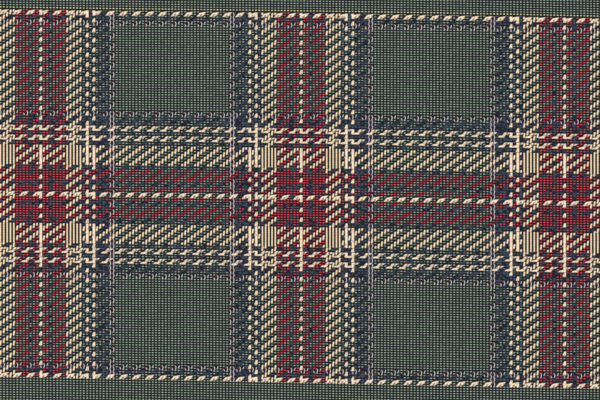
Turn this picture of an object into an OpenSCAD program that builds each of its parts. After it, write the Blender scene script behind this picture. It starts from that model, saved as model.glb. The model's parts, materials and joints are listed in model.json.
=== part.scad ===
// Necktie, folded in four layers as it lies in its box. The blade is the top layer, face up,
// with its point towards -Y. Each layer is a flattened tube of cloth round an interlining.

/* [Length] */
// Distance from one fold line to the next, along the tie
layer_l = 366; // [350:2:380]

/* [Widths] */
// Width of the blade at its shoulders
blade_w = 90; // [84:1:92]
// Width where the blade folds over to the layer under it
mid_w = 60; // [56:1:64]
// Width of the band that goes round the collar
neck_w = 35; // [34:1:38]
// Width of the tail at its shoulders
tail_w = 40; // [38:1:42]

/* [Cloth] */
// Thickness of the woven cloth
cloth_t = 0.45; // [0.4:0.05:0.5]
// Thickness of the wool interlining
interlining_t = 1.1; // [1:0.1:1.4]
// Thickness of the lining that closes the back of each tip
tipping_t = 0.2; // [0.15:0.05:0.25]
// Overlap of the two flaps at the centre of the back
lap = 10; // [8:1:14]
// Depth of the hem along the edges of the blade's tip
blade_hem = 12; // [10:1:14]
// Depth of the hem along the edges of the tail's tip
tail_hem = 8; // [6:1:9]
// From the blade's point to where its back flaps meet
blade_vent = 118; // [110:1:130]
// From the tail's point to where its back flaps meet
tail_vent = 62; // [55:1:75]

/* [Stack] */
// Air between the tail and the neck layer
tail_air = 1.6; // [1.5:0.1:2]
// Air between the neck layer and the upper layer
neck_air = 1.4; // [1.3:0.1:2]

/* [Keeper loop] */
// Clear height inside the loop
loop_open_h = 4.5; // [4.4:0.1:5]
// Clear width inside the loop
loop_open_w = 44; // [43:1:46]
// Length of the loop along the tie
loop_l = 12; // [10:1:14]
// Thickness of the loop's folded strip
loop_t = 0.8; // [0.7:0.1:0.9]
// Width of each end of the strip where it is sewn down
loop_foot = 4; // [3:0.5:4]
// From the blade's point to the middle of the loop
loop_at = 215; // [200:5:240]

/* [Labels and stitches] */
// Width of the maker's label, across the tie
label_w = 46; // [40:1:50]
// Height of the maker's label, along the tie
label_h = 30; // [26:1:34]
// From the blade's point to the middle of the maker's label
label_at = 165; // [155:5:175]
// Width of the care label
care_w = 22; // [18:1:26]
// Height of the care label
care_h = 34; // [30:1:40]
// From the tail's point to the middle of the care label
care_at = 110; // [100:5:130]
// Thickness of both labels
label_t = 0.3; // [0.2:0.05:0.35]
// Diameter of the sewing thread
thread_d = 0.3; // [0.25:0.05:0.3]
// Distance from one slip stitch to the next
slip_pitch = 9; // [8:1:12]

/* [Hidden] */

// Air between two pieces that lie on each other
gap = 0.1;
// Air between the ends of two panels where a seam joins them
seam_gap = 0.4;
// Small overrun that keeps a cut from ending on a face
over = 1;
// Air under the keeper loop
loop_clear = 0.8;
// Facets of a thread, which reads as round
thread_fn = 16;

// Heights inside one layer, measured from its back
inner_flap_z = cloth_t + gap;
tipping_z = inner_flap_z + cloth_t + gap;
core_z = tipping_z + tipping_t + gap;
face_z = core_z + interlining_t + gap;
layer_t = face_z + cloth_t;

// Heights of the four layers above the surface that the tie lies on
tail_z = 0;
neck_z = tail_z + layer_t + tail_air;
upper_z = neck_z + layer_t + neck_air;
loop_air = gap + loop_open_h + loop_t + loop_clear;
front_z = upper_z + layer_t + loop_air;

// Height of each fold's axis, halfway between the two layers that it joins
fold_c_z = neck_z - tail_air / 2;
fold_b_z = upper_z - neck_air / 2;
fold_a_z = front_z - loop_air / 2;

// The folds at the two ends stand out by their outer radius, and the whole is centred on y = 0
fold_a_r = layer_t + loop_air / 2;
fold_b_r = layer_t + neck_air / 2;
far_y = (layer_l + fold_b_r - fold_a_r) / 2;
near_y = far_y - layer_l;
blade_tip_y = near_y + 1.5;
tail_tip_y = near_y + 3;

// Where the upper layer has narrowed to the width of the neck band
narrow_y = -70;
// Where the two bias seams cross the middle of their layers
front_seam_y = -128;
tail_seam_y = 96;

// Half outlines, as [half width, y], from the near end to the far end
front_side = [[blade_w / 2, blade_tip_y + blade_w / 2], [mid_w / 2, far_y]];
upper_side = [[neck_w / 2, near_y], [neck_w / 2, narrow_y], [mid_w / 2, far_y]];
neck_side = [[neck_w / 2, near_y], [neck_w / 2, far_y]];
tail_side = [[tail_w / 2, tail_tip_y + tail_w / 2], [neck_w / 2, far_y]];

// The same points on the -X side, in the reverse order
function flip(points) = [for (k = [len(points) - 1:-1:0]) [-points[k][0], points[k][1]]];

// A layer's plan, drawn in by `inset` on its long sides and its point. Its far end is at far_y - end_gap.
module plan(side, inset = 0, tip_y = undef, end_gap = gap) {
    n = len(side);
    right = [for (p = side) [p[0] - inset, p[1]]];
    first = is_undef(tip_y)
        ? [[right[0][0], right[0][1] + end_gap]]
        : [[0, tip_y + inset * sqrt(2)], [right[0][0], right[0][1] + inset * (sqrt(2) - 1)]];
    rest = [for (k = [1:n - 1]) [right[k][0], right[k][1] - (k == n - 1 ? end_gap : 0)]];
    half = concat(first, rest);
    polygon(concat(half, flip(half)));
}

// The window on the back of a tip, between the hem and the two flaps
module window(tip_y, half_w, hem, vent) {
    low = hem * sqrt(2);
    corner = half_w - hem + 1;
    polygon([[0, tip_y + vent], [corner, tip_y + low + corner], [0, tip_y + low], [-corner, tip_y + low + corner]]);
}

// Everything on the +X side of x
module right_of(x) {
    translate([x, -layer_l]) square([blade_w, 2 * layer_l]);
}

// Cloth tube of one layer, face up, from z = 0 to layer_t. The right flap laps over the left one.
module tube(side, tip_y = undef) {
    difference() {
        linear_extrude(layer_t) plan(side, 0, tip_y);
        translate([0, 0, tipping_z - gap])
            linear_extrude(face_z - tipping_z + gap) plan(side, cloth_t, tip_y, -over);
        translate([0, 0, cloth_t]) linear_extrude(tipping_z - cloth_t) intersection() {
            plan(side, cloth_t, tip_y, -over);
            right_of(lap / 2);
        }
        translate([0, 0, -over]) linear_extrude(over + inner_flap_z) mirror([1, 0]) right_of(lap / 2);
        translate([-lap / 2 - over, -layer_l, cloth_t]) cube([lap + 2 * over, 2 * layer_l, gap]);
    }
}

// Tube with a point at its near end: the back is open in a window over the lining
module pointed_tube(side, tip_y, half_w, hem, vent) {
    difference() {
        tube(side, tip_y);
        translate([0, 0, -over]) linear_extrude(over + tipping_z - gap / 2) window(tip_y, half_w, hem, vent);
    }
}

// Section of the tube, x across and y through the thickness from the back, for the folds
module tube_section(w) {
    difference() {
        translate([-w / 2, 0]) square([w, layer_t]);
        translate([-w / 2 + cloth_t, tipping_z - gap])
            square([w - 2 * cloth_t, face_z - tipping_z + gap]);
        translate([lap / 2, cloth_t]) square([w / 2 - cloth_t - lap / 2, tipping_z - cloth_t]);
        translate([-w / 2 - over, -over]) square([w / 2 + over - lap / 2, over + inner_flap_z]);
        translate([-lap / 2 - over, cloth_t]) square([lap + 2 * over, gap]);
    }
}

// Section of the interlining, drawn in the same way
module core_section(w) {
    translate([-w / 2 + cloth_t + gap, core_z]) square([w - 2 * (cloth_t + gap), interlining_t]);
}

// A half ring round a fold's axis: `inner` is its inner radius, and its child is a section whose
// y grows outwards. It bulges towards +Y, or towards -Y when `near` is true.
module half_ring(y, z, inner, near = false) {
    translate([0, y, z]) mirror([0, near ? 1 : 0, 0]) rotate([0, 90, 0])
        rotate_extrude(angle = 180, $fn = 96) translate([inner, 0]) rotate(-90) mirror([1, 0]) children();
}

// Places a face-up layer at height z, or turns it face down in the same space
module at_layer(z, face_down = false) {
    translate([0, 0, z + (face_down ? layer_t : 0)]) mirror([0, 0, face_down ? 1 : 0]) children();
}

// The part of a layer beyond a 45 degree seam line through (0, y): far side, or near side
module beyond_seam(y, far) {
    intersection() {
        children();
        translate([0, y, -over]) rotate([0, 0, 45])
            translate([-layer_l * 1.5, far ? seam_gap / 2 : -2 * layer_l - seam_gap / 2, 0])
                cube([3 * layer_l, 2 * layer_l, front_z]);
    }
}

// Straight thread from a to b
module thread(a, b) {
    d = b - a;
    translate(a) rotate([0, acos(d[2] / norm(d)), atan2(d[1], d[0])])
        cylinder(h = norm(d), d = thread_d, $fn = thread_fn);
}

// A line of slip stitches over the free edge of the outer flap, on the back of a face-up layer
module slip_stitches(y0, y1) {
    lift = -gap - thread_d / 2;
    for (k = [0:floor((y1 - y0) / slip_pitch) - 1])
        thread([-lap / 2 - 1.2, y0 + k * slip_pitch, lift], [-lap / 2 + 1.2, y0 + k * slip_pitch + 3, lift]);
}

// Running stitches along the two short ends of a label, centred on y
module label_stitches(w, h, y) {
    lift = -2 * gap - label_t - thread_d / 2;
    for (sx = [-1, 1], k = [-3:3])
        translate([sx * (w / 2 - 1.5), y + k * h / 8, lift]) rotate([90, 0, 0])
            cylinder(h = h / 14, d = thread_d, center = true, $fn = thread_fn);
}

// A bar of close stitches across the meeting of the two flaps
module bar_tack(y, w) {
    for (k = [0:4])
        thread([-w / 2, y + k * (thread_d + 0.05), -gap - thread_d / 2],
               [w / 2, y + k * (thread_d + 0.05), -gap - thread_d / 2]);
}

// Thread of a bias seam, lying in the seam from edge to edge of a layer that is w wide there
module seam_thread(y, w) {
    reach = w / 2 - 1;
    thread([-reach, y - reach, face_z + cloth_t / 2], [reach, y + reach, face_z + cloth_t / 2]);
}

module front_panel() {
    color("darkslategray") at_layer(front_z)
        pointed_tube(front_side, blade_tip_y, blade_w / 2, blade_hem, blade_vent);
}

module front_panel_fold() {
    color("slategray") half_ring(far_y, fold_a_z, loop_air / 2) tube_section(mid_w);
}

module front_panel_upper() {
    color("darkslategray") beyond_seam(front_seam_y, true) at_layer(upper_z, true) tube(upper_side);
}

module neck_panel_start() {
    color("seagreen") beyond_seam(front_seam_y, false) at_layer(upper_z, true) tube(upper_side);
}

module neck_panel_fold() {
    color("slategray") half_ring(near_y, fold_b_z, neck_air / 2, true)
        translate([0, layer_t]) mirror([0, 1]) tube_section(neck_w);
}

module neck_panel() {
    color("seagreen") beyond_seam(tail_seam_y, false) at_layer(neck_z) tube(neck_side);
}

module tail_panel_start() {
    color("darkolivegreen") beyond_seam(tail_seam_y, true) at_layer(neck_z) tube(neck_side);
}

module tail_panel_fold() {
    color("slategray") half_ring(far_y, fold_c_z, tail_air / 2) tube_section(neck_w);
}

module tail_panel() {
    color("darkolivegreen") at_layer(tail_z, true)
        pointed_tube(tail_side, tail_tip_y, tail_w / 2, tail_hem, tail_vent);
}

// Interlining of one layer, face up
module core(side, tip_y = undef) {
    translate([0, 0, core_z]) linear_extrude(interlining_t) plan(side, cloth_t + gap, tip_y);
}

module front_interlining() {
    color("ivory") at_layer(front_z) core(front_side, blade_tip_y);
}

module interlining_fold_a() {
    color("beige") half_ring(far_y, fold_a_z, loop_air / 2) core_section(mid_w);
}

module upper_interlining() {
    color("ivory") at_layer(upper_z, true) core(upper_side);
}

module interlining_fold_b() {
    color("beige") half_ring(near_y, fold_b_z, neck_air / 2, true)
        translate([0, layer_t]) mirror([0, 1]) core_section(neck_w);
}

module neck_interlining() {
    color("ivory") at_layer(neck_z) core(neck_side);
}

module interlining_fold_c() {
    color("beige") half_ring(far_y, fold_c_z, tail_air / 2) core_section(neck_w);
}

module tail_interlining() {
    color("ivory") at_layer(tail_z, true) core(tail_side, tail_tip_y);
}

// Lining over the back of a tip: the pointed end of the layer's plan, up to just past the window
module tipping(side, tip_y, half_w, vent) {
    translate([0, 0, tipping_z]) linear_extrude(tipping_t) intersection() {
        plan(side, cloth_t + gap, tip_y);
        translate([-half_w, tip_y]) square([2 * half_w, vent + 8]);
    }
}

module front_tipping() {
    color("steelblue") at_layer(front_z) tipping(front_side, blade_tip_y, blade_w / 2, blade_vent);
}

module tail_tipping() {
    color("steelblue") at_layer(tail_z, true) tipping(tail_side, tail_tip_y, tail_w / 2, tail_vent);
}

// Strip that hangs in a shallow arch under the blade's back, for the tail to pass through
module keeper_loop() {
    inside = loop_open_w / 2;
    drop = gap + loop_open_h;
    slope = 1;
    outer = [[inside + loop_foot, -gap], [inside + loop_foot, -gap - loop_t],
             [inside + loop_t, -gap - loop_t], [inside - slope + loop_t, -drop - loop_t]];
    inner = [[inside - slope, -drop], [inside, -gap]];
    color("darkslategray") at_layer(front_z) translate([0, blade_tip_y + loop_at + loop_l / 2, 0])
        rotate([90, 0, 0]) linear_extrude(loop_l) polygon(concat(outer, flip(outer), flip(inner), inner));
}

module keeper_loop_stitches() {
    x = loop_open_w / 2 + loop_foot / 2 + 0.6;
    z = -2 * gap - loop_t - thread_d / 2;
    y = blade_tip_y + loop_at;
    color("darkgreen") at_layer(front_z) for (sx = [-1, 1], k = [-2:2])
        thread([sx * x - 0.8, y + k * 2 - 0.6, z], [sx * x + 0.8, y + k * 2 + 0.6, z]);
}

module maker_label() {
    color("white") at_layer(front_z)
        translate([-label_w / 2, blade_tip_y + label_at - label_h / 2, -gap - label_t])
            cube([label_w, label_h, label_t]);
}

module maker_label_stitches() {
    color("lightgray") at_layer(front_z) label_stitches(label_w, label_h, blade_tip_y + label_at);
}

module care_label() {
    color("white") at_layer(tail_z, true)
        translate([-care_w / 2, tail_tip_y + care_at - care_h / 2, -gap - label_t])
            cube([care_w, care_h, label_t]);
}

module care_label_stitches() {
    color("lightgray") at_layer(tail_z, true) label_stitches(care_w, care_h, tail_tip_y + care_at);
}

module front_bar_tack() {
    color("darkgreen") at_layer(front_z) bar_tack(blade_tip_y + blade_vent + 1, 8);
}

module tail_bar_tack() {
    color("darkgreen") at_layer(tail_z, true) bar_tack(tail_tip_y + tail_vent + 1, 6);
}

module front_slip_stitch() {
    color("darkgreen") at_layer(front_z) {
        slip_stitches(blade_tip_y + blade_vent + 8, blade_tip_y + label_at - label_h / 2);
        slip_stitches(blade_tip_y + loop_at + loop_l, far_y);
    }
}

module upper_slip_stitch() {
    color("darkgreen") at_layer(upper_z, true) slip_stitches(near_y + 4, far_y);
}

module neck_slip_stitch() {
    color("darkgreen") at_layer(neck_z) slip_stitches(near_y + 4, far_y);
}

module tail_slip_stitch() {
    color("darkgreen") at_layer(tail_z, true) {
        slip_stitches(tail_tip_y + tail_vent + 8, tail_tip_y + care_at - care_h / 2);
        slip_stitches(tail_tip_y + care_at + care_h / 2 + 3, far_y);
    }
}

module front_seam_thread() {
    color("darkgreen") at_layer(upper_z, true) seam_thread(front_seam_y, neck_w);
}

module tail_seam_thread() {
    color("darkgreen") at_layer(neck_z) seam_thread(tail_seam_y, neck_w);
}

front_panel();
front_panel_fold();
front_panel_upper();
neck_panel_start();
neck_panel_fold();
neck_panel();
tail_panel_start();
tail_panel_fold();
tail_panel();
front_interlining();
interlining_fold_a();
upper_interlining();
interlining_fold_b();
neck_interlining();
interlining_fold_c();
tail_interlining();
front_tipping();
tail_tipping();
keeper_loop();
keeper_loop_stitches();
maker_label();
maker_label_stitches();
care_label();
care_label_stitches();
front_bar_tack();
tail_bar_tack();
front_slip_stitch();
upper_slip_stitch();
neck_slip_stitch();
tail_slip_stitch();
front_seam_thread();
tail_seam_thread();
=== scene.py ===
"""A bias-cut woven necktie, folded in four layers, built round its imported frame."""
import json
import math

import bpy
import numpy as np
from mathutils import Matrix
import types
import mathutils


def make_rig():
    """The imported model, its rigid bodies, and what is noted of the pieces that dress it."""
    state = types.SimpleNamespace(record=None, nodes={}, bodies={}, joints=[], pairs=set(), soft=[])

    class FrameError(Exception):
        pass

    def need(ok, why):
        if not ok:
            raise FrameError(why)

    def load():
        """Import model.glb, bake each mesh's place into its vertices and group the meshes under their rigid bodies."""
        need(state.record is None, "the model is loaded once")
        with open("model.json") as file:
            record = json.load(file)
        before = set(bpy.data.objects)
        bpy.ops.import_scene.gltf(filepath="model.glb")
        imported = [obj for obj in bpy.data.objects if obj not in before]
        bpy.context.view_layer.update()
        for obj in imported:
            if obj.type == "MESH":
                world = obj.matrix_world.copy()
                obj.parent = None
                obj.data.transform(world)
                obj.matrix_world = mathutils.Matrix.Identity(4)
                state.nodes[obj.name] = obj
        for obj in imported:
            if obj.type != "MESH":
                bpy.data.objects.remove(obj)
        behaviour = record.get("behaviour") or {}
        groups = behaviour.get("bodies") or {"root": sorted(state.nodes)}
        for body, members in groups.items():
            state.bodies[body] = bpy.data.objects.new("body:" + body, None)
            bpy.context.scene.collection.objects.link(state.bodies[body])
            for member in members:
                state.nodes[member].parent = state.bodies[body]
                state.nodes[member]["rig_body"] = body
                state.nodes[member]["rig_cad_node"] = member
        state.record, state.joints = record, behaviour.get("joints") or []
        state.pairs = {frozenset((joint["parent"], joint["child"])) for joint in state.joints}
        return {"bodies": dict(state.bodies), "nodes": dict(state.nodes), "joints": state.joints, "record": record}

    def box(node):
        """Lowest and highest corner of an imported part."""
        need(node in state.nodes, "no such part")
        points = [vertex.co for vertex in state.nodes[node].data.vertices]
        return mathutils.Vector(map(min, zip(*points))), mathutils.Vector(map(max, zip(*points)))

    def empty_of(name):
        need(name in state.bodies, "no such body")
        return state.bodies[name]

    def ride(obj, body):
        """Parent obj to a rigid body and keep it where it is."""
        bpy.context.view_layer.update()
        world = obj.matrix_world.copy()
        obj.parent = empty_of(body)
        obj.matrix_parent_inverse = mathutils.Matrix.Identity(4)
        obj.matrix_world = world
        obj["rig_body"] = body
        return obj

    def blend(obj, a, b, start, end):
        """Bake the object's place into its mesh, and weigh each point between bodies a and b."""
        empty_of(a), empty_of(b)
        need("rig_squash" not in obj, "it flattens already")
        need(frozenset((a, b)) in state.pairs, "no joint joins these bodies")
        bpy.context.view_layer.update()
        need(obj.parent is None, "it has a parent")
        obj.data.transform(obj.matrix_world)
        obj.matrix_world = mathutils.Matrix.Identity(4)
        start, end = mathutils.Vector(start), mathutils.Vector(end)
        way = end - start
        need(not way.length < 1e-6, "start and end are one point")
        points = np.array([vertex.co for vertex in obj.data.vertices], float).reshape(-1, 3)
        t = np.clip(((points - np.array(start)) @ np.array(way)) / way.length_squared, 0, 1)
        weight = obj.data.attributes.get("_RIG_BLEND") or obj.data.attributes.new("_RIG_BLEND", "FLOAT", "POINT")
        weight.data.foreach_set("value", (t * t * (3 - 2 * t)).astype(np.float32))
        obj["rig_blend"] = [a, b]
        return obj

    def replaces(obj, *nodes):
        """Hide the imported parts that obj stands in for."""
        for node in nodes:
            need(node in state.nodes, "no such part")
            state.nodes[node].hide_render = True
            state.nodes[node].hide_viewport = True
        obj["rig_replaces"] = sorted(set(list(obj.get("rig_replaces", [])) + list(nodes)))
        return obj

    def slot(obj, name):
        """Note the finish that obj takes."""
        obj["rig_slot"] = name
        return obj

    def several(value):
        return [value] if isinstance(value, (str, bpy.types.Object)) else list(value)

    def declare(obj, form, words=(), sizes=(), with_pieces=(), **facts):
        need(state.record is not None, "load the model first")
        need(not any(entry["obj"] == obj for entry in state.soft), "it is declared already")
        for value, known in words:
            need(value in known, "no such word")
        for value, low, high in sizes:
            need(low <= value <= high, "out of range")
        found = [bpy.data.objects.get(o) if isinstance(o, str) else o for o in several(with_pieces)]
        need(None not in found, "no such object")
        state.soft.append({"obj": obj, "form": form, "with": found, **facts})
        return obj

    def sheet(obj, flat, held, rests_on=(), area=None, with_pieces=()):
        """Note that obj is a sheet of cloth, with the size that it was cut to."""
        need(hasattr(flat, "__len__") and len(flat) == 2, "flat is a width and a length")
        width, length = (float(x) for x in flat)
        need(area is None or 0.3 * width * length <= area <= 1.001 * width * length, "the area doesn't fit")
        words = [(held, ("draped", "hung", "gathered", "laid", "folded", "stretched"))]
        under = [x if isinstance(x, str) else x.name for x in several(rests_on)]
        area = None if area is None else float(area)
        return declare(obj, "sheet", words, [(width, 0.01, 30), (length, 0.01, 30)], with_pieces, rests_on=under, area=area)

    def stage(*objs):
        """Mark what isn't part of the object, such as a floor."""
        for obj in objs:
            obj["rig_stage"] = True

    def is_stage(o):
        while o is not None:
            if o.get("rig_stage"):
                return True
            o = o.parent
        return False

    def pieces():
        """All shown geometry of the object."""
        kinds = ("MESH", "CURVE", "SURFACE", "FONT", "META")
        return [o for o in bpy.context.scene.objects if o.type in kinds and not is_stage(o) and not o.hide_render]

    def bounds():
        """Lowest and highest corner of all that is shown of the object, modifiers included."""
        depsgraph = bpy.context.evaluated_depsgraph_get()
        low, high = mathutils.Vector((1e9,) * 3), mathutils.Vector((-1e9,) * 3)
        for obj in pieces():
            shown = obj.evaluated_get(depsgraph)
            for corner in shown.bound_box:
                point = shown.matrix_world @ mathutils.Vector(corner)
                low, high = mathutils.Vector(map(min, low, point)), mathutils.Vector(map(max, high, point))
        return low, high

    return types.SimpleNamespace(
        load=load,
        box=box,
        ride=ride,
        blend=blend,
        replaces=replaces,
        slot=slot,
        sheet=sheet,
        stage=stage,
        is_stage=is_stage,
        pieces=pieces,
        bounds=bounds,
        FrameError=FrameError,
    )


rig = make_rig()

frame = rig.load()
cad_low, cad_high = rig.bounds()

MM = 0.001
BIAS = math.radians(45)

# ---------------------------------------------------------------- places and sizes from the frame

blade_low, blade_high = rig.box("front_panel")
upper_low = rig.box("front_panel_upper")[0]
neck_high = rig.box("neck_panel")[1]
tail_low, tail_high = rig.box("tail_panel")
fold_a_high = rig.box("front_panel_fold")[1]
loop_low, loop_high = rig.box("keeper_loop")
axis_of = {j["name"]: j["pos_m"] for j in frame["joints"]}

LAYER_T = blade_high[2] - blade_low[2]
FAR_Y = axis_of["fold_a"][1]
NEAR_Y = axis_of["fold_b"][1]
BLADE_TIP_Y = blade_low[1]
TAIL_TIP_Y = tail_low[1]
BLADE_HALF = blade_high[0]
MID_HALF = fold_a_high[0]
NECK_HALF = neck_high[0]
TAIL_HALF = tail_high[0]

CLOTH_T = 0.42 * MM
LAP = 10 * MM
BLADE_HEM, BLADE_VENT = 12 * MM, 118 * MM
TAIL_HEM, TAIL_VENT = 8 * MM, 62 * MM
VENT_CLOSE = 14 * MM
FOLD_DRAW = 1.4 * MM
CROWN = 0.28 * MM
BACK = LAYER_T - CLOTH_T * 0.2
UPPER_NARROW_Y = -70 * MM
FRONT_SEAM_Y, TAIL_SEAM_Y = -128 * MM, 96 * MM

# Radii of the folds, measured to the cloth's face
FACE_Z = {"front": blade_high[2], "upper": upper_low[2], "neck": neck_high[2], "tail": tail_low[2]}
R_FOLD_A = (FACE_Z["front"] - FACE_Z["upper"]) / 2
R_FOLD_B = (FACE_Z["upper"] - FACE_Z["neck"]) / 2
R_FOLD_C = (FACE_Z["neck"] - FACE_Z["tail"]) / 2

# The whole tie as one strip: distances along its face from the blade's point
S_FOLD_A = FAR_Y - BLADE_TIP_Y
S_UPPER = S_FOLD_A + math.pi * R_FOLD_A
S_FRONT_SEAM = S_UPPER + FAR_Y - FRONT_SEAM_Y
S_FOLD_B = S_UPPER + FAR_Y - NEAR_Y
S_NECK = S_FOLD_B + math.pi * R_FOLD_B
S_TAIL_SEAM = S_NECK + TAIL_SEAM_Y - NEAR_Y
S_FOLD_C = S_NECK + FAR_Y - NEAR_Y
S_TAIL = S_FOLD_C + math.pi * R_FOLD_C
S_END = S_TAIL + FAR_Y - TAIL_TIP_Y

# Camera: what part of the blade it looks at, and how wide its view is there
VIEW_AT_S = 78 * MM
VIEW_WIDTH = 61.2 * MM
LENS_MM, SENSOR_MM = 100.0, 36.0


def strip_place(s, depth):
    """Where a point of the strip lies: s is the distance along the face from the blade's point, and
    depth is how far it is under the face. Flats run along y at their layer's face height; a fold is
    a half turn about its axis at the face's radius. Returns y and z."""
    s, depth = np.broadcast_arrays(np.asarray(s, float), np.asarray(depth, float))
    y, z = np.empty(s.shape), np.empty(s.shape)
    flats = [
        (-1.0, S_FOLD_A, BLADE_TIP_Y, 1, FACE_Z["front"], 1, 0.0),
        (S_UPPER, S_FOLD_B, FAR_Y, -1, FACE_Z["upper"], -1, S_UPPER),
        (S_NECK, S_FOLD_C, NEAR_Y, 1, FACE_Z["neck"], 1, S_NECK),
        (S_TAIL, 9.0, FAR_Y, -1, FACE_Z["tail"], -1, S_TAIL),
    ]
    for s0, s1, y0, way, face_z, up, origin in flats:
        on = (s >= s0) & (s <= s1)
        y[on] = y0 + way * (s[on] - origin)
        z[on] = face_z - up * depth[on]
    folds = [
        (S_FOLD_A, S_UPPER, FAR_Y, 1, axis_of["fold_a"][2], R_FOLD_A, 1, 1),
        (S_FOLD_B, S_NECK, NEAR_Y, -1, axis_of["fold_b"][2], R_FOLD_B, 1, -1),
        (S_FOLD_C, S_TAIL, FAR_Y, 1, axis_of["fold_c"][2], R_FOLD_C, 1, 1),
    ]
    for s0, s1, y0, way, axis_z, radius, above, out in folds:
        on = (s > s0) & (s < s1)
        turn = (s[on] - s0) / radius
        reach = radius - out * depth[on]
        y[on] = y0 + way * reach * np.sin(turn)
        z[on] = axis_z + above * reach * np.cos(turn)
    return y, z


def half_width(s):
    """Half width of the tie at distance s: it grows as s in the blade's 90 degree point, narrows in
    straight lines to the neck band, widens to the tail's shoulders, and closes in its point. Each
    fold draws the sides in by a sine wave."""
    knots = [0, BLADE_HALF, S_FOLD_A, S_UPPER, S_UPPER + FAR_Y - UPPER_NARROW_Y, S_FOLD_C, S_TAIL,
             S_END - TAIL_HALF, S_END]
    widths = [0, BLADE_HALF, MID_HALF, MID_HALF, NECK_HALF, NECK_HALF, NECK_HALF, TAIL_HALF, 0]
    half = np.interp(s, knots, widths)
    for a, b in ((S_FOLD_A, S_UPPER), (S_FOLD_B, S_NECK), (S_FOLD_C, S_TAIL)):
        half = half - FOLD_DRAW * np.sin(math.pi * np.clip((s - a) / (b - a), 0, 1))
    return half


def smooth(t):
    """0 to 1 with level ends, for t from 0 to 1."""
    t = np.clip(t, 0, 1)
    return t * t * (3 - 2 * t)


def flap_edge(s):
    """How far from the centre a flap's free edge lies. In the point it is the hem's edge, parallel
    to the point's edge; then the vent closes in a straight line to the bar tack, and above it the
    flap runs past the centre by half the lap."""
    past = -LAP / 2
    fronts = []
    for at, hem, vent, half in ((s, BLADE_HEM, BLADE_VENT, BLADE_HALF),
                                (S_END - s, TAIL_HEM, TAIL_VENT, TAIL_HALF)):
        low = hem * math.sqrt(2)
        corner = half - hem + MM
        stops = [low, low + corner, vent, vent + VENT_CLOSE]
        fronts.append(np.interp(at, stops, [0, corner, 0, past]))
    return np.maximum(fronts[0], fronts[1])


def s_at(layer, y):
    """Distance along the strip of the place y in one of the four layers."""
    return {"front": y - BLADE_TIP_Y, "upper": S_UPPER + FAR_Y - y, "neck": S_NECK + y - NEAR_Y,
            "tail": S_TAIL + FAR_Y - y}[layer]


# ---------------------------------------------------------------- meshes

def rows_between(stops, step):
    """Distances from the first stop to the last, about one step apart, with a row on every stop."""
    pairs = zip(stops, stops[1:])
    parts = [np.linspace(a, b, max(2, int(round((b - a) / step)) + 1))[:-1] for a, b in pairs]
    return np.concatenate(parts + [[stops[-1]]])


def add_mesh(name, points, faces, cloth=None):
    """A smooth mesh from points and a list of faces. cloth holds each point's flat cloth coordinates,
    which become the UV map that the weave follows."""
    mesh = bpy.data.meshes.new(name)
    mesh.from_pydata(points.reshape(-1, 3).tolist(), [], faces)
    if cloth is not None:
        corners = np.empty(len(mesh.loops), np.int32)
        mesh.loops.foreach_get("vertex_index", corners)
        layer = mesh.uv_layers.new(name="cloth")
        layer.data.foreach_set("uv", cloth.reshape(-1, 2)[corners].astype(np.float32).ravel())
    mesh.polygons.foreach_set("use_smooth", np.ones(len(faces), bool))
    mesh.update()
    piece = bpy.data.objects.new(name, mesh)
    bpy.context.collection.objects.link(piece)
    return piece


def add_grid(name, points, cloth=None):
    """A sheet from a grid of points (rows, columns, 3), with one quad between neighbours."""
    rows, cols = points.shape[:2]
    index = np.arange(rows * cols).reshape(rows, cols)
    faces = np.stack([index[:-1, :-1], index[:-1, 1:], index[1:, 1:], index[1:, :-1]], -1)
    return add_mesh(name, points, faces.reshape(-1, 4).tolist(), cloth)


def add_solid_sheet(name, outer, inner, cloth):
    """A closed sheet between two grids of points (rows, columns, 3), joined round all four edges. The
    thickness is in the points, so it keeps its place where the sheet bends with a fold."""
    rows, cols = outer.shape[:2]
    index = np.arange(rows * 2 * cols).reshape(rows, 2 * cols)
    around = np.roll(index, -1, axis=1)
    shell = np.stack([index[:-1], around[:-1], around[1:], index[1:]], -1).reshape(-1, 4)
    front, back = index[:, :cols], index[:, ::-1][:, :cols]
    rims = ((front[0], back[0]), (back[-1], front[-1]))
    ends = [np.stack([a[:-1], b[:-1], b[1:], a[1:]], -1) for a, b in rims]
    faces = np.concatenate([shell, *ends])
    points = np.concatenate([outer, inner[:, ::-1]], 1)
    flat = np.concatenate([cloth, cloth[:, ::-1]], 1)
    return add_mesh(name, points, faces.tolist(), flat)


def add_tubes(name, points, cloth):
    """One mesh of several closed tubes from points (tubes, rings, sides, 3), with flat end caps."""
    count, rings, sides = points.shape[:3]
    index = np.arange(count * rings * sides).reshape(count, rings, sides)
    around = np.roll(index, -1, axis=2)
    quads = np.stack([index[:, :-1], around[:, :-1], around[:, 1:], index[:, 1:]], -1).reshape(-1, 4)
    caps = index[:, 0, ::-1].tolist() + index[:, -1].tolist()
    return add_mesh(name, points, quads.tolist() + caps, cloth)


def thicken(piece, thickness):
    """Gives a sheet its thickness, inwards from the surface that was drawn."""
    solid = piece.modifiers.new("thickness", "SOLIDIFY")
    solid.thickness = thickness
    solid.offset = -1
    solid.use_even_offset = False
    return piece


def finish_piece(piece, material, slot):
    """Gives a piece its material and its slot in the record."""
    piece.data.materials.append(material)
    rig.slot(piece, slot)
    return piece


# ---------------------------------------------------------------- the three cloth panels

FACE_COLS, EDGE_COLS, FLAP_COLS = 56, 9, 18
ROW_STEP, FOLD_ROWS = 2.5 * MM, 22
LEAN_REACH = 50 * MM
SEAM_ROWS = [0.15 * MM, 0.5 * MM, 1.2 * MM]
SEAM_ROLL, SEAM_SINK = 1.2 * MM, 0.32 * MM
# The inner flap dips under the outer one from DIP_FROM inwards, where the two flaps overlap
DIP, DIP_FROM, DIP_OVER, DIP_EDGE = 1.15 * CLOTH_T, LAP * 1.1, LAP * 0.55, 3 * MM


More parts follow.
